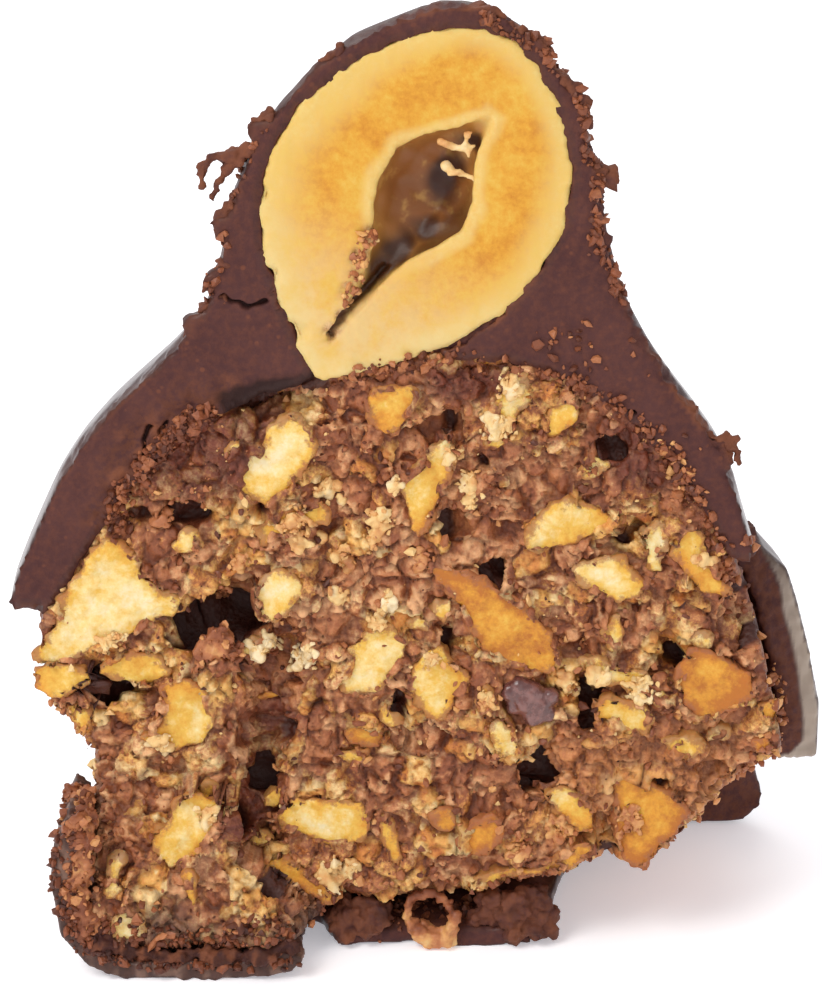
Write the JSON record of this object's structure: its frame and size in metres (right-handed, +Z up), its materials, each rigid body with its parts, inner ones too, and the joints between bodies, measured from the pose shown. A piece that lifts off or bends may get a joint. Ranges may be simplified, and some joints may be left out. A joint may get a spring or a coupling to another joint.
{
  "type": "hazelnut praline",
  "caption": "Cut chocolate praline standing on its base: dark coating round a coarse nut filling, with a halved hazelnut under the dome on top.",
  "frame": {"origin": "centre of the praline's bounding box on the surface it stands on", "axes": "+Z up through the hazelnut, -Y out of the cut face towards the viewer, +X to the viewer's right"},
  "size_m": [0.0324, 0.0179, 0.0386],
  "materials": {
    "coating": "dark chocolate, glossy outside and matte where it is cut or broken",
    "filling": "coarse pinkish-brown nut paste with pale and golden chopped nuts",
    "hazelnut": "roasted hazelnut, cut smooth, golden with a paler edge"
  },
  "bodies": {
    "root": {"coating": "coating", "filling": "filling", "hazelnut": "hazelnut", "wall_shard": "coating", "corner_coating": "coating"}
  },
  "joints": []
}
